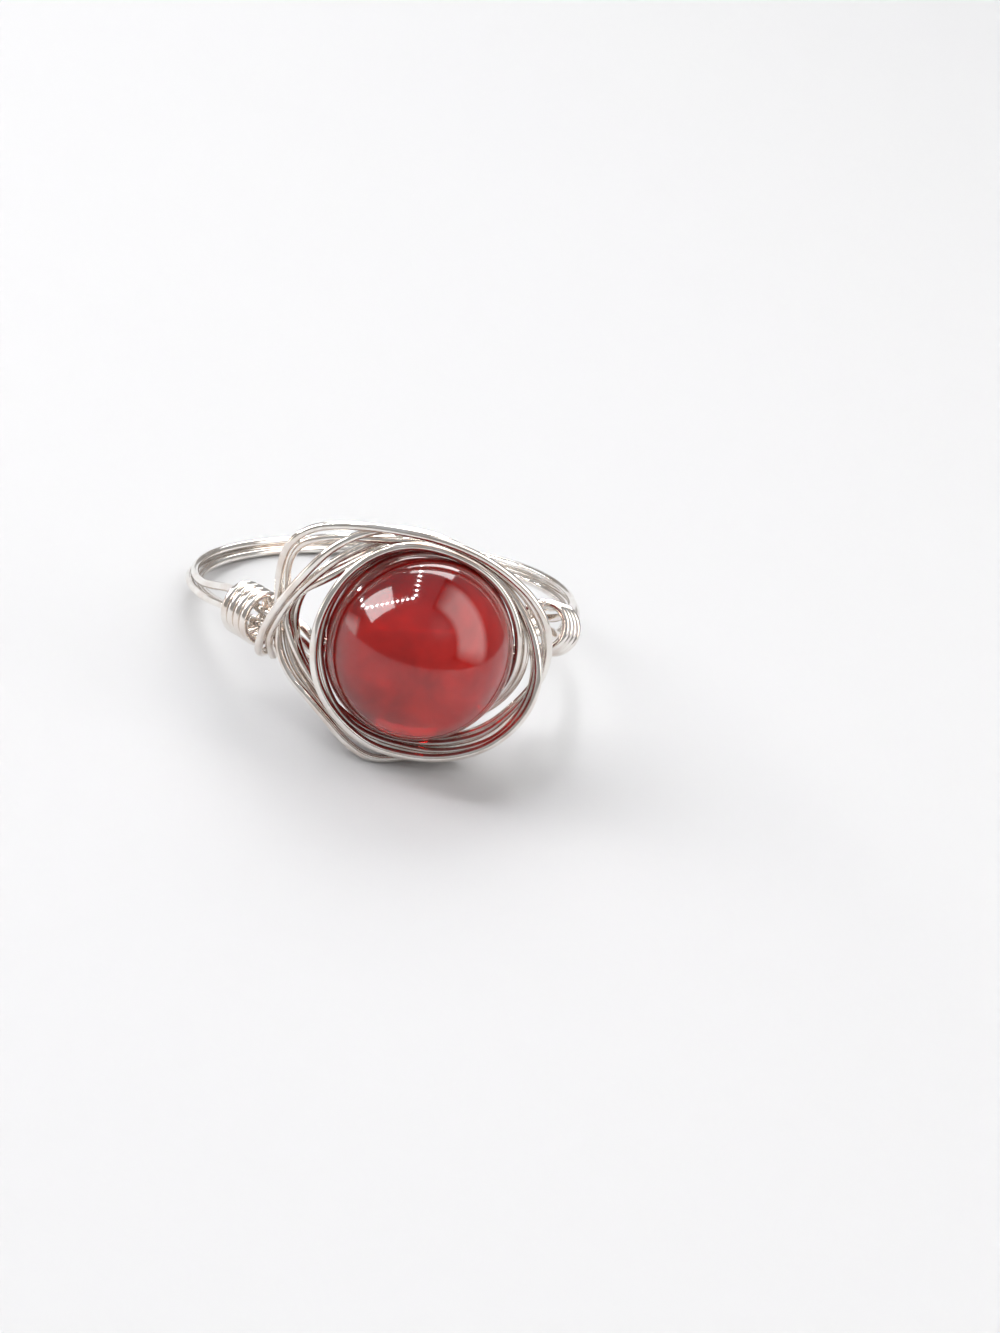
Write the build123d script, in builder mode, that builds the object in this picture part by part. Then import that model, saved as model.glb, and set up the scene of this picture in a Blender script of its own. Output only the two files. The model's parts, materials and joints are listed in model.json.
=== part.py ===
from build123d import *
import math
import os
import numpy as np

# Wire wrapped ring, millimetres, +Z up. It lies on its side on a table, bead toward -Y.
# The wires are laid in the ring's own frame first: finger along Z, ring centre at the origin,
# fingertip toward +Z. The finished ring is then turned to lie as it does by its own weight.

# Finger
inside_d = 15.9

# Bead
bead_d = 8.0
bore_d = 1.0
bead_seat = 0.25
bead_lift = 0.5
bead_r = bead_d / 2
bead_off = inside_d / 2 + bead_seat + bead_r

# Wire
wire_d = 0.36
wire_gap = 0.04
cut_gap = 0.06
pitch = wire_d + wire_gap
strand_pitch = 1.12 * pitch
first_r = bead_r + wire_d / 2 + wire_gap / 2
band_r = inside_d / 2 + wire_d / 2

# Coils: where the axis starts from the bead's centre, in bead radii across, front and up,
# and which way it runs
left_start = (-1.525, -0.625, 0.03)
left_run = (-0.555, -0.818, 0.152)
right_start = (1.42, -0.688, 0.093)
right_run = (0.54, -0.792, -0.287)
bundle_r = 2.1 * pitch
coil_r = bundle_r + wire_d / 2
coil_turns = 4.1
turn_gap = 0.056
coil_steps = 10
near_fan = 1.2
far_fan = 2.2

# Weights in grams per cubic millimetre, and how far the ring may lean as it lies, in degrees
stone_density = 0.0026
wire_density = 0.0089
most_tip = 30
most_roll = 20

# Clearing the wires of one another
lay_step = 1.25
samples = 6
push_rounds = 500
push_share = 1.4
ease_share = 0.12
least_pull = 0.6
push_margin = 0.01

# Wires of the nest, laid anticlockwise round the bead as it is seen from the front.
# clock: degrees clockwise from straight up
# layer: wire pitches out from the bead's surface
# rank: wire pitches toward the front of the bead's widest part
inner_1_rows = [
    (183, 0.9, -3.4), (160, 0.8, -3.0), (128, 0.2, -1.6), (104, 0, 0.4), (82, 0, 1.1), (60, 0, 1.1),
    (38, 0, 1.2), (13, 0.1, 1.4), (-10, 0.7, 1.5), (-31, 1.0, 1.9), (-53, 1.0, 2.2), (-83, 1.0, 2.4),
    (-115, 1.0, 2.4), (-150, 1.0, 2.1), (-174, 1.1, 1.9), (-194, 1.7, 1.8), (-214, 2.5, 1.8),
    (-233, 2.9, 1.8), (-250, 2.8, 1.8), (-266, 2.0, 1.5), (-283, 1.1, 0.8), (-300, 0.4, 0.4),
    (-322, 0.1, 0), (-346, 0.3, 0), (-366, 1.0, 0.1), (-380, 2.0, 0.6), (-398, 3.0, 0.5),
    (-415, 3.2, -0.2), (-434, 4.0, -2.0), (-448, 5.3, -3.2), (-457, 6.0, -4.8), (-462, 6.2, -6.6),
    (-459, 5.6, -8.0),
]
inner_2_rows = [
    (171, 1.5, -4.2), (142, 1.2, -3.6), (122, 1.0, -2.0), (104, 1.0, -0.2), (87, 0.9, 0.6), (72, 0.6, 0.3),
    (52, 0, -0.5), (28, 0, -0.8), (3, 0, -0.8), (-21, 0, -0.2), (-45, 0, 0.5), (-64, 0, 0.9),
    (-90, 0, 1.1), (-121, 0.1, 1.1), (-150, 0.4, 0.9), (-186, 0.9, 0.4), (-206, 1.9, 0.2),
    (-225, 2.8, 0.3), (-244, 2.6, 0.5), (-261, 2.1, 0.3), (-278, 1.1, -0.6), (-296, 0.2, -1.6),
    (-319, 0, -1.9), (-345, 0.1, -1.8), (-366, 0.5, -1.4), (-380, 1.2, -0.5), (-399, 1.7, -0.4),
    (-417, 2.1, -1.2), (-434, 3.2, -2.4), (-450, 4.5, -3.5), (-459, 5.1, -5.0), (-464, 4.9, -6.2),
]
outer_1_rows = [
    (155, 2.5, -1.7), (174, 1.6, -0.9), (190, 1.9, -0.2), (204, 2.1, 0.4), (228, 1.3, 0),
    (246, 2.1, -1.6), (254, 3.3, -3.4), (266, 4.1, -4.4), (276, 4.4, -4.2), (284, 4.7, -3.8),
    (294, 5.6, -2.6), (306, 6.6, -1.2), (316, 6.0, -0.2), (329, 4.0, 0.9), (344, 2.3, 1.6),
    (360, 1.5, 2.1), (382, 1.1, 2.2), (401, 1.3, 2.0), (421, 2.2, 1.8), (437, 2.9, 1.4), (447, 3.1, 0.6),
    (462, 3.2, -0.4), (476, 2.6, -1.0), (497, 2.2, -1.0), (517, 1.2, -0.8), (538, 0.6, -1.2),
    (561, 0.5, -1.4), (584, 0.6, -1.8), (605, 1.5, -2.9), (624, 2.7, -4.0), (639, 3.8, -4.7),
    (647, 3.2, -4.2), (658, 1.5, -3.0), (674, 0.3, -2.4), (691, 0, -2.4), (710, 0.1, -2.6),
    (730, 0.1, -3.0),
]
outer_2_rows = [
    (153, 3.2, -2.9), (170, 2.3, -2.5), (189, 1.2, -1.8), (204, 1.2, -1.2), (224, 1.1, -1.2),
    (245, 1.7, -2.4), (256, 2.7, -3.6), (270, 3.4, -4.6), (281, 3.7, -4.9), (287, 4.1, -4.6),
    (297, 5.1, -3.4), (306, 5.8, -1.8), (314, 5.2, -0.7), (325, 3.4, 0), (341, 1.5, 0.3),
    (361, 1.0, 0.7), (381, 0.7, 0.9), (401, 0.7, 0.8), (423, 1.6, 0.6), (441, 2.5, 0.1), (450, 2.9, -0.6),
    (465, 3.2, -1.6), (480, 2.6, -2.1), (498, 2.1, -2.2), (517, 1.2, -2.1), (536, 0.8, -2.3),
    (558, 0.7, -2.5), (578, 0.7, -2.6), (600, 1.1, -3.0), (620, 2.0, -3.7), (638, 2.7, -4.2),
    (652, 2.5, -3.9), (665, 1.7, -3.2), (677, 0.9, -2.8), (690, 0.5, -2.8), (699, 0.5, -3.0),
    (713, 0.4, -3.7), (731, 0.1, -4.1),
]
nest_rows = {
    "inner_wire_1": inner_1_rows,
    "inner_wire_2": inner_2_rows,
    "outer_wire_1": outer_1_rows,
    "outer_wire_2": outer_2_rows,
}

# Shoulders of the three band strands, across, front and up from the bead's centre, in bead radii
bore_stop = 0.7
strung_left = [(-1.02, -0.01, 0), (-1.075, -0.125, -0.008), (-1.1, -0.325, -0.01),
               (-1.17, -0.475, 0.035), (-1.275, -0.575, 0.075)]
strung_right = [(1.02, -0.01, 0), (1.075, -0.125, 0.008), (1.1, -0.325, 0.025), (1.175, -0.488, 0.088)]
under_1_left = [(0, -0.938, -0.475), (-0.425, -0.875, -0.45), (-0.8, -0.725, -0.375),
                (-1.043, -0.575, -0.25), (-1.213, -0.538, -0.1)]
under_1_right = [(0.425, -0.875, -0.45), (0.8, -0.725, -0.375), (1.025, -0.55, -0.2), (1.175, -0.525, -0.03)]
under_2_left = [(0, -0.875, -0.6), (-0.425, -0.825, -0.588), (-0.8, -0.713, -0.525),
                (-1.038, -0.65, -0.4), (-1.263, -0.7, -0.188)]
under_2_right = [(0.425, -0.825, -0.588), (0.8, -0.713, -0.525), (1.05, -0.625, -0.363),
                 (1.213, -0.638, -0.175)]

# Band strands behind the coils
# turn: degrees round the finger from the front, to the left
# out: beyond the inner strand's circle, in bead radii
# up: above the ring's middle, in bead radii
# fan: how far the strands are spread apart, 1 where they lie together
back_rows = [
    # turn, out, up, fan
    (50, 0.375, 0.175, 2.0), (60, 0.213, 0.113, 1.6), (72, 0.075, 0.05, 1.2), (85, 0.013, 0.013, 1),
    (100, 0, 0, 1), (116, 0, 0, 1), (132, 0, 0, 1), (148, 0, 0, 1), (164, 0, 0, 1), (180, 0, 0, 1),
    (196, 0, 0, 1), (212, 0, 0, 1), (228, 0, 0, 1), (244, 0, 0, 1), (260, 0, 0, 1),
    (275, 0.025, 0.013, 1), (288, 0.088, 0.025, 1.2), (300, 0.2, 0.05, 1.6), (310, 0.338, 0.075, 2.0),
]
# side, up: where each strand stands in the bundle, pitches from its middle
strung_place = (0.5, 0.6)
under_1_place = (1.0, -0.3)
under_2_place = (0.0, -0.5)


bead_middle = np.array([0.0, -bead_off, bead_lift])


def by_bead(across, front, up):
    """A point given from the bead's centre in bead radii, in the ring's own frame."""
    return bead_middle + bead_r * np.array([across, -front, up])


def on_bead(clock, layer, rank):
    """A point on a nest wire."""
    out = first_r + layer * pitch
    lift = rank * pitch
    reach = math.sqrt(out * out - lift * lift)
    angle = math.radians(clock)
    return bead_middle + np.array([reach * math.sin(angle), -lift, reach * math.cos(angle)])


def smoothing(count):
    """Share of each laid point in each sample along the smooth wire through them."""
    laid = np.eye(count)
    bent = laid.copy()
    bent[1:-1] = 1.25 * laid[1:-1] - 0.125 * laid[:-2] - 0.125 * laid[2:]
    mids = (bent[:-1] + bent[1:]) / 2
    mids[0] = bent[0]
    mids[-1] = bent[-1]
    shares = []
    for i in range(1, count - 1):
        for k in range(samples):
            t = k / samples
            shares.append((1 - t) ** 2 * mids[i - 1] + 2 * t * (1 - t) * bent[i] + t * t * mids[i])
    shares.append(bent[-1])
    return np.array(shares)


def smooth(points):
    """Close samples along the smooth wire through the laid points."""
    return smoothing(len(points)) @ points


def even(points, step):
    """The same smooth wire through evenly spaced points."""
    fine = smooth(np.array(points, float))
    runs = np.linalg.norm(np.diff(fine, axis=0), axis=1)
    along = np.concatenate([[0], np.cumsum(runs)])
    stops = np.linspace(0, along[-1], round(along[-1] / step) + 1)
    return np.column_stack([np.interp(stops, along, fine[:, k]) for k in range(3)])


def push(step, vectors, hits, first, second, wanted):
    """Add the moves that set close samples a wanted distance apart."""
    lengths = np.linalg.norm(vectors, axis=1)
    close = lengths < wanted
    moves = vectors[close] / lengths[close][:, None] * (wanted - lengths[close])[:, None]
    if second is None:
        np.add.at(step, first[close], moves)
    else:
        np.add.at(step, first[close], moves / 2)
        np.add.at(step, second[close], -moves / 2)
        np.add.at(hits, second[close], 1)
    np.add.at(hits, first[close], 1)


def spread(laid, fixed):
    """Nest wires moved just clear of one another, of the bead and of the fixed wires."""
    names = list(laid)
    share = {name: smoothing(len(laid[name])) for name in names}
    now = {name: laid[name].copy() for name in names}
    owner = np.concatenate([np.full(len(share[name]), k) for k, name in enumerate(names)])
    order = np.concatenate([np.arange(len(share[name])) for name in names])
    parted = owner[:, None] != owner[None]
    parted |= np.abs(order[:, None] - order[None]) > 3 * samples
    wanted = pitch + push_margin
    everyone = np.arange(len(owner))
    for turn in range(push_rounds):
        cloud = np.concatenate([share[name] @ now[name] for name in names])
        if turn % 10 == 0:
            spans = np.linalg.norm(cloud[:, None] - cloud[None], axis=2)
            first, second = np.nonzero(np.triu((spans < wanted + pitch / 2) & parted))
            spans = np.linalg.norm(cloud[:, None] - fixed[None], axis=2)
            near, post = np.nonzero(spans < wanted + pitch / 2)
        step = np.zeros_like(cloud)
        hits = np.zeros(len(cloud))
        push(step, cloud[first] - cloud[second], hits, first, second, wanted)
        push(step, cloud[near] - fixed[post], hits, near, None, wanted)
        push(step, cloud - bead_middle, hits, everyone, None, first_r)
        touched = hits > 0
        step[touched] /= hits[touched][:, None]
        start = 0
        for name in names:
            mine = slice(start, start + len(share[name]))
            start += len(share[name])
            pull = np.abs(share[name]) * touched[mine][:, None]
            move = pull.T @ step[mine] / np.maximum(pull.sum(0), least_pull)[:, None]
            lean = now[name] - laid[name]
            ease = np.zeros_like(lean)
            ease[1:-1] = (lean[:-2] + lean[2:]) / 2 - lean[1:-1]
            ease[0] = lean[1] - lean[0]
            ease[-1] = lean[-2] - lean[-1]
            now[name] = now[name] + push_share * move + ease_share * ease
    return now


def coil_ends(start, run):
    """The two ends of a coil's axis."""
    near = by_bead(*start)
    along = by_bead(*run) - bead_middle
    return near, near + along / np.linalg.norm(along) * coil_turns * (wire_d + turn_gap)


def helix(start, run, way):
    """Coil centreline: corner points by turns, from the near end to the far one."""
    near, far = coil_ends(start, run)
    axis = (far - near) / np.linalg.norm(far - near)
    rise = np.array([0.0, 0.0, 1.0]) - axis * axis[2]
    rise /= np.linalg.norm(rise)
    side = np.cross(axis, rise)
    count = round(coil_turns * coil_steps)
    points = []
    for i in range(count + 1):
        angle = way * 2 * math.pi * i / coil_steps
        spoke = math.cos(angle) * rise + math.sin(angle) * side
        points.append(near + (far - near) * i / count + coil_r * spoke)
    return np.array(points)


def in_bundle(place, start, run):
    """One strand's two points inside a coil."""
    side, up = place
    near, far = coil_ends(start, run)
    across = np.cross(far - near, (0.0, 0.0, 1.0))
    across *= math.copysign(1.0, near[0]) / np.linalg.norm(across)
    aside = (side - 0.5) * strand_pitch * across
    upward = np.array([0, 0, up * pitch])
    return near + aside + upward * near_fan, far + aside + upward * far_fan


def round_back(place):
    """One strand's points round the finger, from the left coil to the right one."""
    side, up = place
    points = []
    for turn, out, rise, fan in back_rows:
        reach = band_r + out * bead_r + side * strand_pitch
        angle = math.radians(turn)
        lift = rise * bead_r + up * pitch * fan
        points.append(np.array([-reach * math.sin(angle), -reach * math.cos(angle), lift]))
    return points


def strung_strand():
    """The strand the bead is strung on, cut inside the bore."""
    left = [by_bead(*row) for row in strung_left]
    right = [by_bead(*row) for row in strung_right]
    left_in, left_out = in_bundle(strung_place, left_start, left_run)
    right_in, right_out = in_bundle(strung_place, right_start, right_run)
    cut = np.array([cut_gap / 2, 0, 0])
    start = [bead_middle - cut, by_bead(-bore_stop, 0, 0)]
    end = [by_bead(bore_stop, 0, 0), bead_middle + cut]
    back = round_back(strung_place)
    return np.array(start + left + [left_in, left_out] + back + [right_out, right_in] + right[::-1] + end)


def under_strand(place, left_rows, right_rows):
    """A strand that passes between the bead and the finger, cut inside the left coil."""
    left_in, left_out = in_bundle(place, left_start, left_run)
    right_in, right_out = in_bundle(place, right_start, right_run)
    middle = (left_in + left_out) / 2
    nudge = (left_out - left_in) / np.linalg.norm(left_out - left_in) * cut_gap / 2
    under = [by_bead(*row) for row in right_rows[::-1] + left_rows]
    return np.array([middle + nudge, left_out] + round_back(place) + [right_out, right_in] + under
                    + [left_in, middle - nudge])


def corners(points):
    """Corner points whose rounded path runs through the laid points."""
    bent = points.copy()
    bent[1:-1] += (points[1:-1] - (points[:-2] + points[2:]) / 2) / 4
    return bent


def bends(bent):
    """A bend radius at each inner corner that leaves a short straight run between bends."""
    radii = []
    for before, here, after in zip(bent[:-2], bent[1:-1], bent[2:]):
        into = here - before
        away = after - here
        cosine = into @ away / np.linalg.norm(into) / np.linalg.norm(away)
        half = max(math.acos(max(-1.0, min(1.0, cosine))) / 2, 0.002)
        radii.append(0.45 * min(np.linalg.norm(into), np.linalg.norm(away)) / math.tan(half))
    return radii


def close_points(wires):
    """Points all along some wires, a third of the wire's thickness apart."""
    return np.concatenate([even(points, wire_d / 3) for points in wires.values()])


def weight_middle(cloud):
    """The ring's centre of gravity."""
    wire_weight = wire_density * math.pi / 4 * wire_d ** 2 * len(cloud) * wire_d / 3
    bead_weight = stone_density * math.pi / 6 * bead_d ** 3
    return (wire_weight * cloud.mean(0) + bead_weight * bead_middle) / (wire_weight + bead_weight)


def stand(tip, roll):
    """Turn from the ring's own frame to the table: tipped front upward, then rolled sideways."""
    tip = math.radians(tip)
    roll = math.radians(roll)
    tipped = np.array([[1, 0, 0], [0, math.cos(tip), math.sin(tip)], [0, -math.sin(tip), math.cos(tip)]])
    rolled = np.array([[math.cos(roll), 0, math.sin(roll)], [0, 1, 0], [-math.sin(roll), 0, math.cos(roll)]])
    return rolled @ tipped


def lowest(height, low, high):
    """The angle between two others at which a height is least."""
    for _ in range(30):
        third = (high - low) / 3
        if height(low + third) < height(high - third):
            high -= third
        else:
            low += third
    return (low + high) / 2


def lie(cloud):
    """The tip and roll at which the ring's weight is lowest, as it lies by itself."""
    heavy = weight_middle(cloud)

    def height(tip, roll):
        up = stand(tip, roll)[2]
        table = min((cloud @ up).min() - wire_d / 2, bead_middle @ up - bead_r)
        return heavy @ up - table

    def best_tip(roll):
        return lowest(lambda tip: height(tip, roll), 0, most_tip)

    roll = lowest(lambda roll: height(best_tip(roll), roll), -most_roll, most_roll)
    return best_tip(roll), roll


coils = {
    "left_coil": helix(left_start, left_run, 1),
    "right_coil": helix(right_start, right_run, -1),
}
band = {
    "strung_strand": strung_strand(),
    "under_strand_1": under_strand(under_1_place, under_1_left, under_1_right),
    "under_strand_2": under_strand(under_2_place, under_2_left, under_2_right),
}
laid = {name: even([on_bead(*row) for row in rows], lay_step) for name, rows in nest_rows.items()}
nest = spread(laid, close_points({**band, **coils}))

cloud = close_points({**band, **coils, **nest})
tip, roll = lie(cloud)
turn = stand(tip, roll)
middle = turn @ bead_middle
low = np.minimum((cloud @ turn.T).min(0) - wire_d / 2, middle - bead_r)
high = np.maximum((cloud @ turn.T).max(0) + wire_d / 2, middle + bead_r)
shift = -np.array([(low[0] + high[0]) / 2, (low[1] + high[1]) / 2, low[2]])
print("tip %.3f, roll %.3f degrees" % (tip, roll))
print("ring centre", np.round(shift, 4), "finger axis", np.round(turn[:, 2], 6))

os.makedirs("parts", exist_ok=True)
bead_plane = Plane(origin=Vector(*(middle + shift)), x_dir=Vector(*turn[:, 0]), z_dir=Vector(*turn[:, 2]))
bore_end = math.sqrt(bead_r ** 2 - (bore_d / 2) ** 2)
with BuildPart() as bead:
    with BuildSketch(bead_plane):
        with BuildLine():
            Line((bore_end, bore_d / 2), (-bore_end, bore_d / 2))
            ThreePointArc((-bore_end, bore_d / 2), (0, bead_r), (bore_end, bore_d / 2))
        make_face()
    revolve(axis=Axis(bead_plane.origin, bead_plane.x_dir))
bead.part.label = "bead"
export_step(bead.part, "parts/bead.step")

for name, points in {**band, **coils, **nest}.items():
    bent = corners(points) @ turn.T + shift
    with BuildPart() as wire:
        with BuildLine() as path:
            FilletPolyline(*[Vector(*point) for point in bent], radius=bends(bent))
        with BuildSketch(Plane(origin=path.line @ 0, z_dir=path.line % 0)):
            Circle(wire_d / 2)
        sweep(path=path.line)
    wire.part.label = name
    export_step(wire.part, "parts/%s.step" % name)
    print(name, "%d points, volume %.2f mm3" % (len(points), wire.part.volume))
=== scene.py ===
# Wire wrapped ring with a round red bead, lying on a pale table. +Z is up and the bead faces -Y.
import json
import math
import bpy
import numpy as np
from mathutils import Matrix, Vector


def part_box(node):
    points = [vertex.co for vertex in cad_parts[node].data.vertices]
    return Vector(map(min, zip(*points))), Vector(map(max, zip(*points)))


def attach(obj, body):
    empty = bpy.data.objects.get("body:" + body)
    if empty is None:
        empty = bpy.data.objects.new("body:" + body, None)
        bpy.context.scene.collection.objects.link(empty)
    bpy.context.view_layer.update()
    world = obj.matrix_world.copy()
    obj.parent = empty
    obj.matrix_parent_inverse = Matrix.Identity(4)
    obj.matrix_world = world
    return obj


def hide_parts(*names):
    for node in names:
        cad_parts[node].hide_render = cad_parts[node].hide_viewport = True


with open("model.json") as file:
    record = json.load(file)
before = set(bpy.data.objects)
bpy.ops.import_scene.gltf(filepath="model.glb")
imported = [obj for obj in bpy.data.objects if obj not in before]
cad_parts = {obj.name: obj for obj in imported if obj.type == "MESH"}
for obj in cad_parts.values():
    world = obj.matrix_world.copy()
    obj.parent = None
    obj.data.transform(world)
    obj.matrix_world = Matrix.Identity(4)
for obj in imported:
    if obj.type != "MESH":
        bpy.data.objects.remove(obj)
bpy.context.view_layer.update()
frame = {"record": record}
print("Frame loaded")

# Sizes are in millimetres, or in bead radii or wire pitches where a note says so, and in the ring's
# own frame: opening along Z, ring centre at the origin, bead toward -Y. placed() tips the points onto
# the table and turns them to metres.
mm = 0.001

bead = {
    "across": 8.0,
    "bore": 1.0,
    "holeEdge": 0.12,   # width of the rounded edge round each hole
    "seat": 0.25,       # from the opening to the bead
    "lift": 0.5,        # bead's centre above the middle of the band
    "sides": 96,
    "steps": 56,
    "slot": "red_stone",
}

wire = {
    "across": 0.36,
    "pitch": 0.40,          # wire and the gap beside it
    "strandPitch": 0.448,   # the same between band strands that lie side by side
    "cutGap": 0.06,         # between a strand's two ends, out of sight
    "boreStop": 0.7,        # last point inside the bead, in bead radii
    "sides": 16,
    "fineness": 8,          # steps of the drawn curve between two of its points
    "step": 0.14,           # along the wire between rings of the mesh
    "endRounding": 0.1,
    "endAcross": 0.55,      # share of the wire's width left at its very end
    "slot": "silver_wire",
}

# How the nest's laid wires are moved just clear of one another
nest = {
    "layStep": 1.25,    # between the points that move
    "samples": 6,       # between one such point and the next
    "rounds": 500,
    "relist": 10,       # rounds between new lists of close samples
    "ownReach": 3,      # points along its own run that a wire is not held off
    "margin": 0.01,
    "push": 1.4,
    "ease": 0.12,
    "leastPull": 0.6,
}

band = {
    "inside": 15.9,
    "nearFan": 1.2,     # how far the strands are spread upward at a coil's near and far end
    "farFan": 2.2,
}

coils = {
    # where the axis starts from the bead's centre, in bead radii across, front and up, and its run
    "left_coil": {"start": (-1.525, -0.625, 0.03), "run": (-0.555, -0.818, 0.152), "way": 1},
    "right_coil": {"start": (1.42, -0.688, 0.093), "run": (0.54, -0.792, -0.287), "way": -1},
}
coilForm = {
    "bundle": 0.84,     # radius of the bundle of strands inside the coil
    "turns": 4.1,
    "turnGap": 0.056,
    "steps": 10,        # points to each turn
}

# Nest wires, laid anticlockwise round the bead as it is seen from the front.
# clock: degrees clockwise from straight up. layer: wire pitches out from the bead's surface.
# rank: wire pitches in front of the bead's widest part.
nestRows = {
    "inner_wire_1": [
        (183, 0.9, -3.4), (160, 0.8, -3.0), (128, 0.2, -1.6), (104, 0, 0.4), (82, 0, 1.1), (60, 0, 1.1),
        (38, 0, 1.2), (13, 0.1, 1.4), (-10, 0.7, 1.5), (-31, 1.0, 1.9), (-53, 1.0, 2.2), (-83, 1.0, 2.4),
        (-115, 1.0, 2.4), (-150, 1.0, 2.1), (-174, 1.1, 1.9), (-194, 1.7, 1.8), (-214, 2.5, 1.8),
        (-233, 2.9, 1.8), (-250, 2.8, 1.8), (-266, 2.0, 1.5), (-283, 1.1, 0.8), (-300, 0.4, 0.4),
        (-322, 0.1, 0), (-346, 0.3, 0), (-366, 1.0, 0.1), (-380, 2.0, 0.6), (-398, 3.0, 0.5),
        (-415, 3.2, -0.2), (-434, 4.0, -2.0), (-448, 5.3, -3.2), (-457, 6.0, -4.8), (-462, 6.2, -6.6),
        (-459, 5.6, -8.0),
    ],
    "inner_wire_2": [
        (171, 1.5, -4.2), (142, 1.2, -3.6), (122, 1.0, -2.0), (104, 1.0, -0.2), (87, 0.9, 0.6),
        (72, 0.6, 0.3), (52, 0, -0.5), (28, 0, -0.8), (3, 0, -0.8), (-21, 0, -0.2), (-45, 0, 0.5),
        (-64, 0, 0.9), (-90, 0, 1.1), (-121, 0.1, 1.1), (-150, 0.4, 0.9), (-186, 0.9, 0.4),
        (-206, 1.9, 0.2), (-225, 2.8, 0.3), (-244, 2.6, 0.5), (-261, 2.1, 0.3), (-278, 1.1, -0.6),
        (-296, 0.2, -1.6), (-319, 0, -1.9), (-345, 0.1, -1.8), (-366, 0.5, -1.4), (-380, 1.2, -0.5),
        (-399, 1.7, -0.4), (-417, 2.1, -1.2), (-434, 3.2, -2.4), (-450, 4.5, -3.5), (-459, 5.1, -5.0),
        (-464, 4.9, -6.2),
    ],
    "outer_wire_1": [
        (155, 2.5, -1.7), (174, 1.6, -0.9), (190, 1.9, -0.2), (204, 2.1, 0.4), (228, 1.3, 0),
        (246, 2.1, -1.6), (254, 3.3, -3.4), (266, 4.1, -4.4), (276, 4.4, -4.2), (284, 4.7, -3.8),
        (294, 5.6, -2.6), (306, 6.6, -1.2), (316, 6.0, -0.2), (329, 4.0, 0.9), (344, 2.3, 1.6),
        (360, 1.5, 2.1), (382, 1.1, 2.2), (401, 1.3, 2.0), (421, 2.2, 1.8), (437, 2.9, 1.4),
        (447, 3.1, 0.6), (462, 3.2, -0.4), (476, 2.6, -1.0), (497, 2.2, -1.0), (517, 1.2, -0.8),
        (538, 0.6, -1.2), (561, 0.5, -1.4), (584, 0.6, -1.8), (605, 1.5, -2.9), (624, 2.7, -4.0),
        (639, 3.8, -4.7), (647, 3.2, -4.2), (658, 1.5, -3.0), (674, 0.3, -2.4), (691, 0, -2.4),
        (710, 0.1, -2.6), (730, 0.1, -3.0),
    ],
    "outer_wire_2": [
        (153, 3.2, -2.9), (170, 2.3, -2.5), (189, 1.2, -1.8), (204, 1.2, -1.2), (224, 1.1, -1.2),
        (245, 1.7, -2.4), (256, 2.7, -3.6), (270, 3.4, -4.6), (281, 3.7, -4.9), (287, 4.1, -4.6),
        (297, 5.1, -3.4), (306, 5.8, -1.8), (314, 5.2, -0.7), (325, 3.4, 0), (341, 1.5, 0.3),
        (361, 1.0, 0.7), (381, 0.7, 0.9), (401, 0.7, 0.8), (423, 1.6, 0.6), (441, 2.5, 0.1),
        (450, 2.9, -0.6), (465, 3.2, -1.6), (480, 2.6, -2.1), (498, 2.1, -2.2), (517, 1.2, -2.1),
        (536, 0.8, -2.3), (558, 0.7, -2.5), (578, 0.7, -2.6), (600, 1.1, -3.0), (620, 2.0, -3.7),
        (638, 2.7, -4.2), (652, 2.5, -3.9), (665, 1.7, -3.2), (677, 0.9, -2.8), (690, 0.5, -2.8),
        (699, 0.5, -3.0), (713, 0.4, -3.7), (731, 0.1, -4.1),
    ],
}

# Shoulders of the band strands, across, front and up from the bead's centre, in bead radii.
# place: side and up in the bundle, in pitches from its middle.
shoulders = {
    "strung_strand": {
        "left": [(-1.02, -0.01, 0), (-1.075, -0.125, -0.008), (-1.1, -0.325, -0.01),
                 (-1.17, -0.475, 0.035), (-1.275, -0.575, 0.075)],
        "right": [(1.02, -0.01, 0), (1.075, -0.125, 0.008), (1.1, -0.325, 0.025), (1.175, -0.488, 0.088)],
        "place": (0.5, 0.6),
    },
    "under_strand_1": {
        "left": [(0, -0.938, -0.475), (-0.425, -0.875, -0.45), (-0.8, -0.725, -0.375),
                 (-1.043, -0.575, -0.25), (-1.213, -0.538, -0.1)],
        "right": [(0.425, -0.875, -0.45), (0.8, -0.725, -0.375), (1.025, -0.55, -0.2),
                  (1.175, -0.525, -0.03)],
        "place": (1.0, -0.3),
    },
    "under_strand_2": {
        "left": [(0, -0.875, -0.6), (-0.425, -0.825, -0.588), (-0.8, -0.713, -0.525),
                 (-1.038, -0.65, -0.4), (-1.263, -0.7, -0.188)],
        "right": [(0.425, -0.825, -0.588), (0.8, -0.713, -0.525), (1.05, -0.625, -0.363),
                  (1.213, -0.638, -0.175)],
        "place": (0.0, -0.5),
    },
}

# Band behind the coils. turn: degrees round the opening from the front, to the left.
# out and up: beyond the inner strand's circle, in bead radii.
# fan: how far the strands are spread, 1 where they lie together.
backRows = [
    (50, 0.375, 0.175, 2.0), (60, 0.213, 0.113, 1.6), (72, 0.075, 0.05, 1.2), (85, 0.013, 0.013, 1),
    (100, 0, 0, 1), (116, 0, 0, 1), (132, 0, 0, 1), (148, 0, 0, 1), (164, 0, 0, 1), (180, 0, 0, 1),
    (196, 0, 0, 1), (212, 0, 0, 1), (228, 0, 0, 1), (244, 0, 0, 1), (260, 0, 0, 1),
    (275, 0.025, 0.013, 1), (288, 0.088, 0.025, 1.2), (300, 0.2, 0.05, 1.6), (310, 0.338, 0.075, 2.0),
]

beadRadius = bead["across"] / 2
beadCentre = np.array([0, -(band["inside"] / 2 + bead["seat"] + beadRadius), bead["lift"]])


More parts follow.
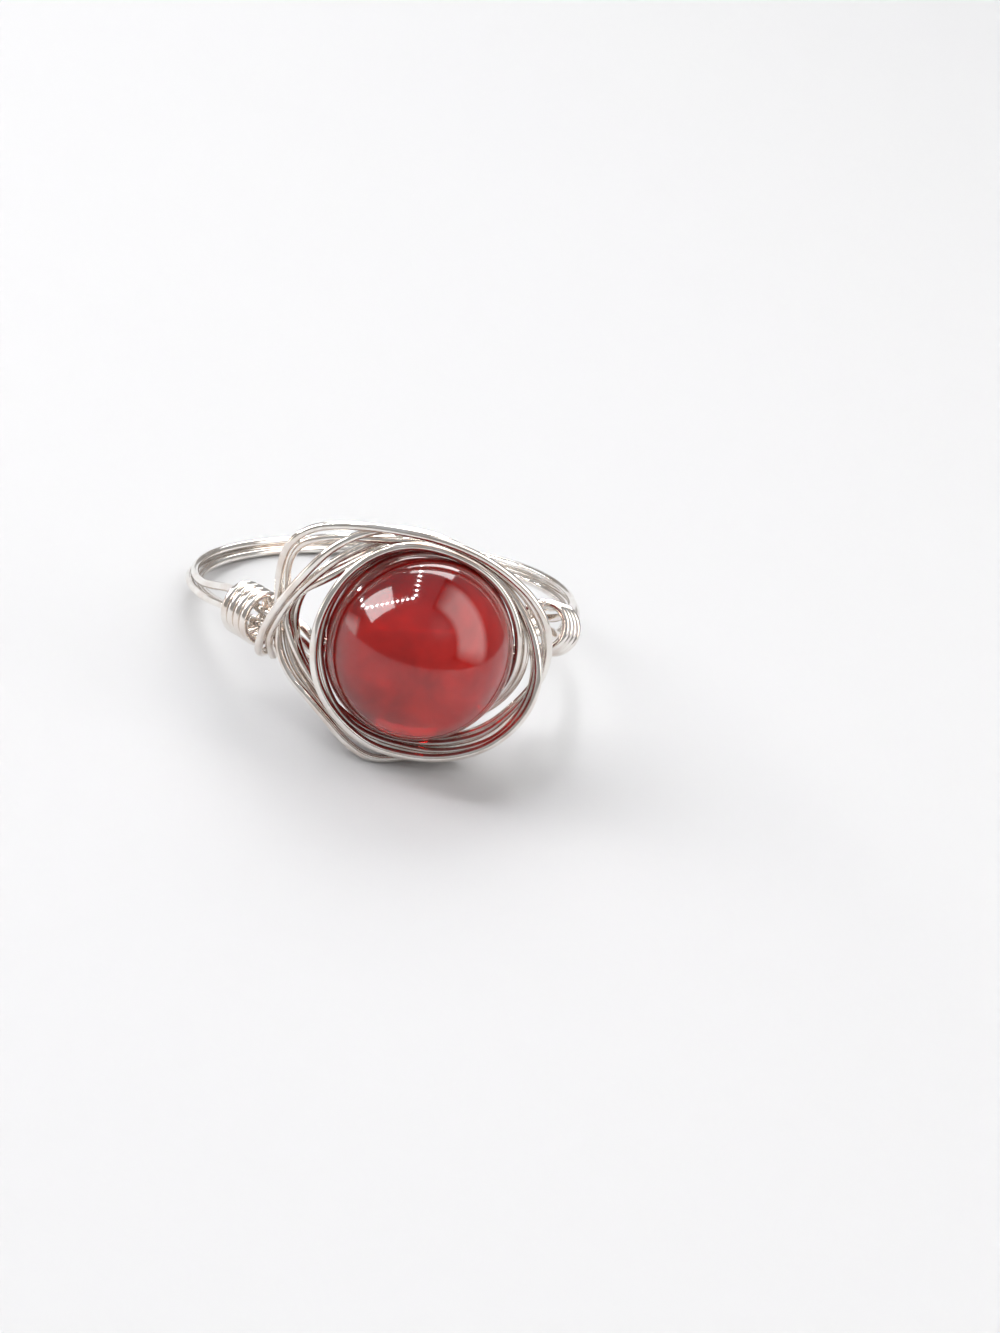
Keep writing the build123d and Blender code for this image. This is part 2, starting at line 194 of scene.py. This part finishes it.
def byBead(across, front, up):
    return beadCentre + beadRadius * np.array([across, -front, up])


def onBead(clock, layer, rank):
    out = beadRadius + wire["pitch"] / 2 + layer * wire["pitch"]
    lift = rank * wire["pitch"]
    reach = math.sqrt(out * out - lift * lift)
    angle = math.radians(clock)
    return beadCentre + np.array([reach * math.sin(angle), -lift, reach * math.cos(angle)])


# Share of each laid point in each sample along the smooth wire through them
def smoothing(count):
    laid = np.eye(count)
    bent = laid.copy()
    # a quarter of each bend further out, so that the smooth curve meets the laid point
    bent[1:-1] += (laid[1:-1] - (laid[:-2] + laid[2:]) / 2) / 4
    mids = (bent[:-1] + bent[1:]) / 2
    mids[0] = bent[0]
    mids[-1] = bent[-1]
    shares = []
    for i in range(1, count - 1):
        for k in range(nest["samples"]):
            t = k / nest["samples"]
            shares.append((1 - t) ** 2 * mids[i - 1] + 2 * t * (1 - t) * bent[i] + t * t * mids[i])
    shares.append(bent[-1])
    return np.array(shares)


def even(points, step):
    fine = smoothing(len(points)) @ np.array(points, float)
    runs = np.linalg.norm(np.diff(fine, axis=0), axis=1)
    along = np.concatenate([[0], np.cumsum(runs)])
    stops = np.linspace(0, along[-1], round(along[-1] / step) + 1)
    return np.column_stack([np.interp(stops, along, fine[:, k]) for k in range(3)])


# Adds the moves that set close samples a wanted distance apart
def pushApart(step, vectors, hits, first, second, wanted):
    lengths = np.linalg.norm(vectors, axis=1)
    close = lengths < wanted
    moves = vectors[close] / lengths[close][:, None] * (wanted - lengths[close])[:, None]
    if second is None:
        np.add.at(step, first[close], moves)
    else:
        np.add.at(step, first[close], moves / 2)
        np.add.at(step, second[close], -moves / 2)
        np.add.at(hits, second[close], 1)
    np.add.at(hits, first[close], 1)


# The nest wires moved just clear of one another, of the bead and of the fixed wires
def spreadNest(laid, fixed):
    names = list(laid)
    share = {name: smoothing(len(laid[name])) for name in names}
    now = {name: laid[name].copy() for name in names}
    owner = np.concatenate([np.full(len(share[name]), k) for k, name in enumerate(names)])
    order = np.concatenate([np.arange(len(share[name])) for name in names])
    parted = owner[:, None] != owner[None]
    parted |= np.abs(order[:, None] - order[None]) > nest["ownReach"] * nest["samples"]
    wanted = wire["pitch"] + nest["margin"]
    everyone = np.arange(len(owner))
    for turn in range(nest["rounds"]):
        cloud = np.concatenate([share[name] @ now[name] for name in names])
        if turn % nest["relist"] == 0:
            spans = np.linalg.norm(cloud[:, None] - cloud[None], axis=2)
            first, second = np.nonzero(np.triu((spans < wanted + wire["pitch"] / 2) & parted))
            spans = np.linalg.norm(cloud[:, None] - fixed[None], axis=2)
            near, post = np.nonzero(spans < wanted + wire["pitch"] / 2)
        step = np.zeros_like(cloud)
        hits = np.zeros(len(cloud))
        pushApart(step, cloud[first] - cloud[second], hits, first, second, wanted)
        pushApart(step, cloud[near] - fixed[post], hits, near, None, wanted)
        pushApart(step, cloud - beadCentre, hits, everyone, None, beadRadius + wire["pitch"] / 2)
        touched = hits > 0
        step[touched] /= hits[touched][:, None]
        start = 0
        for name in names:
            mine = slice(start, start + len(share[name]))
            start += len(share[name])
            pull = np.abs(share[name]) * touched[mine][:, None]
            move = pull.T @ step[mine] / np.maximum(pull.sum(0), nest["leastPull"])[:, None]
            lean = now[name] - laid[name]
            ease = np.zeros_like(lean)
            ease[1:-1] = (lean[:-2] + lean[2:]) / 2 - lean[1:-1]
            ease[0] = lean[1] - lean[0]
            ease[-1] = lean[-2] - lean[-1]
            now[name] = now[name] + nest["push"] * move + nest["ease"] * ease
    return now


def coilEnds(coil):
    near = byBead(*coil["start"])
    run = byBead(*coil["run"]) - beadCentre
    length = coilForm["turns"] * (wire["across"] + coilForm["turnGap"])
    return near, near + run / np.linalg.norm(run) * length


def coilPoints(coil):
    near, far = coilEnds(coil)
    axis = (far - near) / np.linalg.norm(far - near)
    rise = np.array([0.0, 0.0, 1.0]) - axis * axis[2]
    rise /= np.linalg.norm(rise)
    side = np.cross(axis, rise)
    radius = coilForm["bundle"] + wire["across"] / 2
    count = round(coilForm["turns"] * coilForm["steps"])
    points = []
    for i in range(count + 1):
        angle = coil["way"] * 2 * math.pi * i / coilForm["steps"]
        spoke = math.cos(angle) * rise + math.sin(angle) * side
        points.append(near + (far - near) * i / count + radius * spoke)
    return np.array(points)


# A strand's two points inside a coil
def inBundle(place, coil):
    side, up = place
    near, far = coilEnds(coil)
    across = np.cross(far - near, (0.0, 0.0, 1.0))
    across *= math.copysign(1.0, near[0]) / np.linalg.norm(across)
    aside = (side - 0.5) * wire["strandPitch"] * across
    upward = np.array([0, 0, up * wire["pitch"]])
    return [near + aside + upward * band["nearFan"], far + aside + upward * band["farFan"]]


def roundBack(place):
    side, up = place
    points = []
    for turn, out, rise, fan in backRows:
        reach = (band["inside"] + wire["across"]) / 2 + out * beadRadius + side * wire["strandPitch"]
        angle = math.radians(turn)
        lift = rise * beadRadius + up * wire["pitch"] * fan
        points.append(np.array([-reach * math.sin(angle), -reach * math.cos(angle), lift]))
    return points


# A strand's whole route, from the hidden cut round the opening and back to it
def strandRoute(name):
    strand = shoulders[name]
    left = [byBead(*row) for row in strand["left"]]
    right = [byBead(*row) for row in strand["right"]]
    leftIn, leftOut = inBundle(strand["place"], coils["left_coil"])
    rightIn, rightOut = inBundle(strand["place"], coils["right_coil"])
    back = roundBack(strand["place"])
    if name == "strung_strand":
        cut = np.array([wire["cutGap"] / 2, 0, 0])
        start = [beadCentre - cut, byBead(-wire["boreStop"], 0, 0)]
        end = [byBead(wire["boreStop"], 0, 0), beadCentre + cut]
        loop = [leftIn, leftOut] + back + [rightOut, rightIn]
        return np.array(start + left + loop + right[::-1] + end)
    middle = (leftIn + leftOut) / 2
    nudge = (leftOut - leftIn) / np.linalg.norm(leftOut - leftIn) * wire["cutGap"] / 2
    start = [middle + nudge, leftOut]
    under = [rightOut, rightIn] + right[::-1] + left
    return np.array(start + back + under + [leftIn, middle - nudge])


# How the ring lies: turned as the opening's axis is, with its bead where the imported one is
openingAxis = frame["record"]["mounts"][0]["axis"]
tip = Matrix.Rotation(-math.asin(openingAxis[1]), 3, "X")
roll = Matrix.Rotation(math.atan2(openingAxis[0], openingAxis[2]), 3, "Y")
lying = roll @ tip
beadLow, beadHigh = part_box("bead")
beadMiddle = (beadLow + beadHigh) / 2
ringMiddle = beadMiddle - lying @ Vector(beadCentre) * mm


def placed(points):
    return [ringMiddle + lying @ Vector(point) * mm for point in points]


# Control points whose smooth curve runs through the laid points
def controls(points):
    bent = np.array(points, float)
    bent[1:-1] += (points[1:-1] - (points[:-2] + points[2:]) / 2) / 4
    return placed(bent)


# Camera, at the photograph's angle to the ring
shot = {
    "turn": -10.5,      # degrees round the ring from straight in front of the bead
    "rise": 14.5,       # degrees above the ring's own plane
    "roll": 5.0,
    "distance": 140.0,
    "aside": 3.417,     # camera's place from the bead, across and down the picture
    "down": 0.896,
    "lens": 90.74,
}


def shotAxes():
    turn = math.radians(shot["turn"])
    rise = math.radians(shot["rise"])
    roll = math.radians(shot["roll"])
    back = Vector((math.sin(turn) * math.cos(rise), -math.cos(turn) * math.cos(rise), math.sin(rise)))
    level = Vector((math.cos(turn), math.sin(turn), 0))
    upright = back.cross(level)
    right = level * math.cos(roll) + upright * math.sin(roll)
    up = upright * math.cos(roll) - level * math.sin(roll)
    return lying @ right, lying @ up, lying @ back


shotRight, shotUp, shotBack = shotAxes()
eye = beadMiddle + (shotBack * shot["distance"] + shotRight * shot["aside"] - shotUp * shot["down"]) * mm
camera = bpy.data.objects.new("camera", bpy.data.cameras.new("camera"))
bpy.context.scene.collection.objects.link(camera)
bpy.context.scene.camera = camera
camera.data.lens = shot["lens"]
camera.data.clip_start = 0.002
camera.data.clip_end = 10
camera.matrix_world = Matrix.Translation(eye) @ Matrix((shotRight, shotUp, shotBack)).transposed().to_4x4()
bpy.context.scene.view_settings.view_transform = "Standard"
print("Camera placed")


# Materials
def newMaterial(name):
    material = bpy.data.materials.new(name)
    material.use_nodes = True
    nodes = material.node_tree.nodes
    return material, nodes, material.node_tree.links, nodes["Principled BSDF"]


# A ramp between two colours
def colourRamp(nodes, lowAt, low, highAt, high):
    ramp = nodes.new("ShaderNodeValToRGB")
    ramp.color_ramp.elements[0].position = lowAt
    ramp.color_ramp.elements[0].color = low
    ramp.color_ramp.elements[1].position = highAt
    ramp.color_ramp.elements[1].color = high
    return ramp


silver = {
    "bright": (0.93, 0.90, 0.86, 1),
    "warm": (0.78, 0.69, 0.62, 1),
    "roughLow": 0.07,
    "roughHigh": 0.22,
    "patch": 900,           # how many warm patches to a metre
    "scratch": 26000,       # the same of the scratches, across the wire
    "scratchStretch": 0.05,
    "scratchShow": 0.5,
    "scratchDepth": 0.000002,
}


# Drawn silver wire: faint lines along it, warmer patches, fine handling marks
def silverWire():
    material, nodes, links, shader = newMaterial("silverWire")
    shader.inputs["Metallic"].default_value = 1.0
    place = nodes.new("ShaderNodeTexCoord")
    patches = nodes.new("ShaderNodeTexNoise")
    patches.inputs["Scale"].default_value = silver["patch"]
    patches.inputs["Detail"].default_value = 3
    links.new(place.outputs["Object"], patches.inputs["Vector"])
    tint = colourRamp(nodes, 0.3, silver["warm"], 0.62, silver["bright"])
    links.new(patches.outputs["Fac"], tint.inputs["Fac"])
    links.new(tint.outputs["Color"], shader.inputs["Base Color"])

    along = nodes.new("ShaderNodeAttribute")
    along.attribute_name = "along"
    around = nodes.new("ShaderNodeAttribute")
    around.attribute_name = "around"
    stretched = nodes.new("ShaderNodeMath")
    stretched.operation = "MULTIPLY"
    stretched.inputs[1].default_value = silver["scratchStretch"]
    links.new(along.outputs["Fac"], stretched.inputs[0])
    unrolled = nodes.new("ShaderNodeCombineXYZ")
    links.new(stretched.outputs["Value"], unrolled.inputs["X"])
    links.new(around.outputs["Fac"], unrolled.inputs["Y"])
    lines = nodes.new("ShaderNodeTexNoise")
    lines.inputs["Scale"].default_value = silver["scratch"]
    lines.inputs["Detail"].default_value = 2
    links.new(unrolled.outputs["Vector"], lines.inputs["Vector"])
    rough = nodes.new("ShaderNodeMapRange")
    rough.inputs["From Min"].default_value = 0.35
    rough.inputs["From Max"].default_value = 0.75
    rough.inputs["To Min"].default_value = silver["roughLow"]
    rough.inputs["To Max"].default_value = silver["roughHigh"]
    links.new(lines.outputs["Fac"], rough.inputs["Value"])
    links.new(rough.outputs["Result"], shader.inputs["Roughness"])
    bump = nodes.new("ShaderNodeBump")
    bump.inputs["Strength"].default_value = silver["scratchShow"]
    bump.inputs["Distance"].default_value = silver["scratchDepth"]
    links.new(lines.outputs["Fac"], bump.inputs["Height"])
    links.new(bump.outputs["Normal"], shader.inputs["Normal"])
    return material


stone = {
    "deep": (0.30, 0.002, 0.0015, 1),
    "bright": (0.66, 0.014, 0.009, 1),
    "rimPaintedShade": 0.42,        # brightness of the painted shade on the stone's edge beside the middle of its face
    "rimFrom": 0.35,        # where the painted edge shade begins and ends, in bead radii toward the face's middle
    "rimTo": 0.85,
    "cloud": 260,           # how many cloudy patches to a metre
    "cloudBend": 0.6,
    "glow": (0.0030, 0.0003, 0.0002),   # how far light spreads in the stone, in metres
    "glowShare": 0.75,
    "clear": 0.45,
    "index": 1.54,
    "rough": 0.12,
    "gloss": 0.02,
}


# Polished red stone, slightly cloudy, that lets light through, its rim darkened by painted shade
def redStone():
    material, nodes, links, shader = newMaterial("redStone")
    place = nodes.new("ShaderNodeTexCoord")
    clouds = nodes.new("ShaderNodeTexNoise")
    clouds.inputs["Scale"].default_value = stone["cloud"]
    clouds.inputs["Detail"].default_value = 3
    clouds.inputs["Distortion"].default_value = stone["cloudBend"]
    links.new(place.outputs["Object"], clouds.inputs["Vector"])
    tint = colourRamp(nodes, 0.35, stone["deep"], 0.68, stone["bright"])
    links.new(clouds.outputs["Fac"], tint.inputs["Fac"])

    # painted shade: the base colour is darkened toward the rim and left bright in the middle of the face,
    # where light would gather in the stone
    fromMiddle = nodes.new("ShaderNodeVectorMath")
    fromMiddle.operation = "SUBTRACT"
    fromMiddle.inputs[1].default_value = beadMiddle
    links.new(place.outputs["Object"], fromMiddle.inputs[0])
    outward = nodes.new("ShaderNodeVectorMath")
    outward.operation = "DOT_PRODUCT"
    outward.inputs[1].default_value = lying @ Vector((0, -1, 0))
    links.new(fromMiddle.outputs["Vector"], outward.inputs[0])
    # mask of the painted shade, darker toward the bead's rim
    rim = nodes.new("ShaderNodeMapRange")
    rim.interpolation_type = "SMOOTHSTEP"
    rim.inputs["From Min"].default_value = stone["rimFrom"] * beadRadius * mm
    rim.inputs["From Max"].default_value = stone["rimTo"] * beadRadius * mm
    rim.inputs["To Min"].default_value = stone["rimPaintedShade"]
    rim.inputs["To Max"].default_value = 1.0
    links.new(outward.outputs["Value"], rim.inputs["Value"])
    shaded = nodes.new("ShaderNodeVectorMath")
    shaded.operation = "SCALE"
    links.new(tint.outputs["Color"], shaded.inputs[0])
    links.new(rim.outputs["Result"], shaded.inputs["Scale"])
    links.new(shaded.outputs["Vector"], shader.inputs["Base Color"])
    shader.inputs["Roughness"].default_value = stone["rough"]
    shader.inputs["IOR"].default_value = stone["index"]
    shader.inputs["Transmission Weight"].default_value = stone["clear"]
    shader.inputs["Subsurface Weight"].default_value = stone["glowShare"]
    shader.inputs["Subsurface Radius"].default_value = stone["glow"]
    shader.inputs["Subsurface Scale"].default_value = 1.0
    # only the polish on top reflects
    shader.inputs["Specular IOR Level"].default_value = 0
    shader.inputs["Coat Weight"].default_value = 1.0
    shader.inputs["Coat Roughness"].default_value = stone["gloss"]
    shader.inputs["Coat IOR"].default_value = stone["index"]
    return material


silverMaterial = silverWire()
stoneMaterial = redStone()
print("Materials made")


# Geometry Nodes helpers
def newTree(name):
    tree = bpy.data.node_groups.new(name, "GeometryNodeTree")
    tree.interface.new_socket("Geometry", in_out="INPUT", socket_type="NodeSocketGeometry")
    tree.interface.new_socket("Geometry", in_out="OUTPUT", socket_type="NodeSocketGeometry")
    return tree, tree.nodes.new("NodeGroupInput"), tree.nodes.new("NodeGroupOutput")


def addInput(tree, name, kind):
    tree.interface.new_socket(name, in_out="INPUT", socket_type="NodeSocket" + kind)


def setInputs(modifier, values):
    for item in modifier.node_group.interface.items_tree:
        if item.in_out == "INPUT" and item.name in values:
            modifier[item.identifier] = values[item.name]


# A wire of round section along the curve it is put on, its ends rounded, with where each point
# lies along and around it kept for the material
def wireTree():
    tree, entry, result = newTree("drawnWire")
    addInput(tree, "Across", "Float")
    addInput(tree, "Step", "Float")
    addInput(tree, "End rounding", "Float")
    addInput(tree, "End across", "Float")
    addInput(tree, "Sides", "Int")
    addInput(tree, "Material", "Material")
    nodes = tree.nodes
    links = tree.links
    stepped = nodes.new("GeometryNodeResampleCurve")
    stepped.mode = "LENGTH"
    links.new(entry.outputs["Geometry"], stepped.inputs["Curve"])
    links.new(entry.outputs["Step"], stepped.inputs["Length"])
    where = nodes.new("GeometryNodeSplineParameter")
    whole = nodes.new("GeometryNodeSplineLength")
    keepAlong = nodes.new("GeometryNodeStoreNamedAttribute")
    keepAlong.inputs["Name"].default_value = "along"
    links.new(stepped.outputs["Curve"], keepAlong.inputs["Geometry"])
    links.new(where.outputs["Length"], keepAlong.inputs["Value"])

    # share of the full radius near each end, rising smoothly over the length of the rounding
    toEnd = nodes.new("ShaderNodeMath")
    toEnd.operation = "SUBTRACT"
    links.new(whole.outputs["Length"], toEnd.inputs[0])
    links.new(where.outputs["Length"], toEnd.inputs[1])
    nearer = nodes.new("ShaderNodeMath")
    nearer.operation = "MINIMUM"
    links.new(where.outputs["Length"], nearer.inputs[0])
    links.new(toEnd.outputs["Value"], nearer.inputs[1])
    share = nodes.new("ShaderNodeMapRange")
    share.interpolation_type = "SMOOTHSTEP"
    links.new(nearer.outputs["Value"], share.inputs["Value"])
    links.new(entry.outputs["End rounding"], share.inputs["From Max"])
    links.new(entry.outputs["End across"], share.inputs["To Min"])
    radius = nodes.new("GeometryNodeSetCurveRadius")
    links.new(keepAlong.outputs["Geometry"], radius.inputs["Curve"])
    links.new(share.outputs["Result"], radius.inputs["Radius"])

    half = nodes.new("ShaderNodeMath")
    half.operation = "DIVIDE"
    half.inputs[1].default_value = 2
    links.new(entry.outputs["Across"], half.inputs[0])
    section = nodes.new("GeometryNodeCurvePrimitiveCircle")
    links.new(entry.outputs["Sides"], section.inputs["Resolution"])
    links.new(half.outputs["Value"], section.inputs["Radius"])
    keepAround = nodes.new("GeometryNodeStoreNamedAttribute")
    keepAround.inputs["Name"].default_value = "around"
    turned = nodes.new("GeometryNodeSplineParameter")
    links.new(section.outputs["Curve"], keepAround.inputs["Geometry"])
    links.new(turned.outputs["Length"], keepAround.inputs["Value"])

    sweep = nodes.new("GeometryNodeCurveToMesh")
    sweep.inputs["Fill Caps"].default_value = True
    links.new(radius.outputs["Curve"], sweep.inputs["Curve"])
    if "Scale" in sweep.inputs:
        links.new(share.outputs["Result"], sweep.inputs["Scale"])
    links.new(keepAround.outputs["Geometry"], sweep.inputs["Profile Curve"])
    rounded = nodes.new("GeometryNodeSetShadeSmooth")
    links.new(sweep.outputs["Mesh"], rounded.inputs["Geometry"])
    real = nodes.new("GeometryNodeRealizeInstances")
    links.new(rounded.outputs["Geometry"], real.inputs["Geometry"])
    dressed = nodes.new("GeometryNodeSetMaterial")
    links.new(real.outputs["Geometry"], dressed.inputs["Geometry"])
    links.new(entry.outputs["Material"], dressed.inputs["Material"])
    links.new(dressed.outputs["Geometry"], result.inputs["Geometry"])
    return tree


# The plain mesh of an object's modifiers, with the object's own name
def plainMesh(source):
    shown = source.evaluated_get(bpy.context.evaluated_depsgraph_get())
    mesh = bpy.data.meshes.new_from_object(shown)
    name = source.name
    bpy.data.objects.remove(source)
    mesh.name = name
    piece = bpy.data.objects.new(name, mesh)
    bpy.context.scene.collection.objects.link(piece)
    return piece


def drawWire(name, route, tree):
    curve = bpy.data.curves.new(name + "Route", "CURVE")
    curve.dimensions = "3D"
    curve.resolution_u = wire["fineness"]
    spline = curve.splines.new("NURBS")
    spline.points.add(len(route) - 1)
    for point, place in zip(spline.points, route):
        point.co = (*place, 1)
    spline.order_u = 3
    spline.use_endpoint_u = True
    source = bpy.data.objects.new(name + "Piece", curve)
    bpy.context.scene.collection.objects.link(source)
    modifier = source.modifiers.new("drawnWire", "NODES")
    modifier.node_group = tree
    setInputs(modifier, {
        "Across": wire["across"] * mm,
        "Step": wire["step"] * mm,
        "End rounding": wire["endRounding"] * mm,
        "End across": wire["endAcross"],
        "Sides": wire["sides"],
        "Material": silverMaterial,
    })
    piece = plainMesh(source)
    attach(piece, "root")
    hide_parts(name)
    return piece


strandRoutes = {name: strandRoute(name) for name in shoulders}
coilRoutes = {name: coilPoints(coils[name]) for name in coils}
fixedStep = wire["across"] / 3
fixedWires = [even(route, fixedStep) for route in {**strandRoutes, **coilRoutes}.values()]
laidWires = {}
for name, rows in nestRows.items():
    laidWires[name] = even([onBead(*row) for row in rows], nest["layStep"])
nestRoutes = spreadNest(laidWires, np.concatenate(fixedWires))
drawnWire = wireTree()
for name, route in {**strandRoutes, **coilRoutes, **nestRoutes}.items():
    drawWire(name, controls(route), drawnWire)
print("Wires drawn")


# Drilled bead, turned round its bore
def turnBead():
    bore = bead["bore"] / 2
    edge = bead["holeEdge"]
    first = math.asin((bore + edge) / beadRadius)
    profile = []
    for i in range(bead["steps"] + 1):
        angle = first + (math.pi - 2 * first) * i / bead["steps"]
        profile.append((-beadRadius * math.cos(angle), beadRadius * math.sin(angle)))
    rim = beadRadius * math.cos(first)
    for side in (1, -1):
        for share in (0.5, 1):
            profile.append((side * (rim - edge * share ** 2), bore + edge * (1 - share) ** 1.5))
        if side > 0:
            for share in (0.5, 0, -0.5):
                profile.append((share * rim, bore))
    profile[-2:] = profile[-1:-3:-1]
    points = []
    faces = []
    sides = bead["sides"]
    count = len(profile)
    for k in range(sides):
        angle = 2 * math.pi * k / sides
        for along, reach in profile:
            offset = Vector((along, reach * math.cos(angle), reach * math.sin(angle)))
            points.append(beadMiddle + lying @ offset * mm)
        for i in range(count):
            here = k * count + i
            beside = k * count + (i + 1) % count
            across = (k + 1) % sides * count
            faces.append((across + i, across + (i + 1) % count, beside, here))
    mesh = bpy.data.meshes.new("redBead")
    mesh.from_pydata(points, [], faces)
    mesh.shade_smooth()
    mesh.materials.append(stoneMaterial)
    piece = bpy.data.objects.new("redBead", mesh)
    bpy.context.scene.collection.objects.link(piece)
    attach(piece, "root")
    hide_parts("bead")
    return piece


turnBead()
print("Bead turned")


# Table
table = {"size": 3.0, "colour": (0.46, 0.46, 0.465, 1), "rough": 0.55}


def layTable():
    half = table["size"] / 2
    corners = [(-half, -half, 0), (half, -half, 0), (half, half, 0), (-half, half, 0)]
    mesh = bpy.data.meshes.new("table")
    mesh.from_pydata(corners, [], [(0, 1, 2, 3)])
    material, nodes, links, shader = newMaterial("paleTable")
    shader.inputs["Base Color"].default_value = table["colour"]
    shader.inputs["Roughness"].default_value = table["rough"]
    shader.inputs["Specular IOR Level"].default_value = 0
    mesh.materials.append(material)
    floor = bpy.data.objects.new("table", mesh)
    bpy.context.scene.collection.objects.link(floor)


layTable()

# Lights. Windows and lamps stand where the bead shows them on its face as the camera sees it.
lights = {
    "roomLow": (0.30, 0.295, 0.29, 1),
    "roomHigh": (0.43, 0.44, 0.46, 1),
    "windowAway": 330.0,
    "windowColour": (1, 0.98, 0.96, 1),
    "windowCells": 10,
    "windowSoft": 2,        # cells over which a window's edge fades
    "lampAway": 300.0,
    "lampAcross": 13.0,
    "lampColour": (1, 1, 1, 1),
    "lampStrength": 60.0,
}
windows = [
    # name, clock from and to, inner and outer share of the bead's radius, strength
    ("windowRight", 24, 112, 0.40, 0.74, 2.6),
    ("windowLeft", -115, -62, 0.60, 0.80, 2.4),
]
lampRows = [
    # from across, up, to across, up, in bead radii, and lamps
    (-0.60, 0.63, -0.545, 0.40, 5),
    (-0.50, 0.375, -0.03, 0.47, 10),
    (0.00, 0.50, 0.055, 0.80, 7),
]


# Where a ray from the camera goes after the bead's face sends it on
def sentOn(across, up, away):
    face = shotRight * across + shotUp * up + shotBack * math.sqrt(1 - across * across - up * up)
    start = beadMiddle + face * beadRadius * mm
    toEye = (eye - start).normalized()
    return start + (face * (2 * face.dot(toEye)) - toEye) * away * mm


def glowing(name, colour, strength):
    material, nodes, links, shader = newMaterial(name)
    shader.inputs["Base Color"].default_value = (0, 0, 0, 1)
    shader.inputs["Emission Color"].default_value = colour
    kept = nodes.new("ShaderNodeAttribute")
    kept.attribute_name = "glow"
    power = nodes.new("ShaderNodeMath")
    power.operation = "MULTIPLY"
    power.inputs[1].default_value = strength
    links.new(kept.outputs["Fac"], power.inputs[0])
    links.new(power.outputs["Value"], shader.inputs["Emission Strength"])
    return material


def hang(name, points, faces, material):
    mesh = bpy.data.meshes.new(name)
    mesh.from_pydata(points, [], faces)
    mesh.materials.append(material)
    card = bpy.data.objects.new(name, mesh)
    bpy.context.scene.collection.objects.link(card)
    card.visible_camera = False
    return card


def keepOnPoints(card, name, values):
    card.data.attributes.new(name, "FLOAT", "POINT").data.foreach_set("value", values)


# The faces of a square net with so many cells each way
def netFaces(cells):
    faces = []
    for j in range(cells):
        for i in range(cells):
            corner = j * (cells + 1) + i
            faces.append((corner, corner + 1, corner + cells + 2, corner + cells + 1))
    return faces


def hangWindows():
    cells = lights["windowCells"]
    soft = lights["windowSoft"]
    for name, clockFrom, clockTo, inner, outer, strength in windows:
        points = []
        glow = []
        for j in range(cells + 1):
            for i in range(cells + 1):
                glow.append(min(i, cells - i, soft) * min(j, cells - j, soft) / soft ** 2)
                clock = math.radians(clockFrom + (clockTo - clockFrom) * i / cells)
                reach = inner + (outer - inner) * j / cells
                across = reach * math.sin(clock)
                up = reach * math.cos(clock)
                points.append(sentOn(across, up, lights["windowAway"]))
        card = hang(name, points, netFaces(cells), glowing(name, lights["windowColour"], strength))
        keepOnPoints(card, "glow", glow)


def hangLamps():
    points = []
    faces = []
    half = lights["lampAcross"] * mm / 2
    for fromAcross, fromUp, toAcross, toUp, count in lampRows:
        for i in range(count):
            share = i / (count - 1)
            across = fromAcross + (toAcross - fromAcross) * share
            up = fromUp + (toUp - fromUp) * share
            middle = sentOn(across, up, lights["lampAway"])
            toBead = (beadMiddle - middle).normalized()
            side = toBead.orthogonal().normalized() * half
            over = toBead.cross(side)
            start = len(points)
            points += [middle + side + over, middle - side + over]
            points += [middle - side - over, middle + side - over]
            faces.append((start, start + 1, start + 2, start + 3))
    material = glowing("lampStrip", lights["lampColour"], lights["lampStrength"])
    strip = hang("lampStrip", points, faces, material)
    keepOnPoints(strip, "glow", [1.0] * len(points))


def lightRoom():
    world = bpy.data.worlds.new("room")
    bpy.context.scene.world = world
    world.use_nodes = True
    nodes = world.node_tree.nodes
    links = world.node_tree.links
    place = nodes.new("ShaderNodeTexCoord")
    parts = nodes.new("ShaderNodeSeparateXYZ")
    links.new(place.outputs["Generated"], parts.inputs["Vector"])
    sky = colourRamp(nodes, 0.25, lights["roomLow"], 0.95, lights["roomHigh"])
    links.new(parts.outputs["Z"], sky.inputs["Fac"])
    links.new(sky.outputs["Color"], nodes["Background"].inputs["Color"])


softboxes = [
    # name, place from the bead in millimetres, size, watts, and whether polished things show it
    ("boxBehind", (60, 430, 380), 360, 2.3, True),
    ("boxLeft", (-430, 60, 330), 300, 1.7, True),
    ("boxFront", (160, -420, 470), 260, 1.0, False),
]


def hangSoftboxes():
    for name, place, size, watts, shown in softboxes:
        light = bpy.data.lights.new(name, "AREA")
        light.size = size * mm
        light.energy = watts
        lamp = bpy.data.objects.new(name, light)
        bpy.context.scene.collection.objects.link(lamp)
        away = Vector(place) * mm
        lamp.location = beadMiddle + away
        lamp.rotation_mode = "QUATERNION"
        lamp.rotation_quaternion = away.to_track_quat("Z", "Y")
        lamp.visible_glossy = shown


hangWindows()
hangLamps()
lightRoom()
hangSoftboxes()
print("Lights hung")
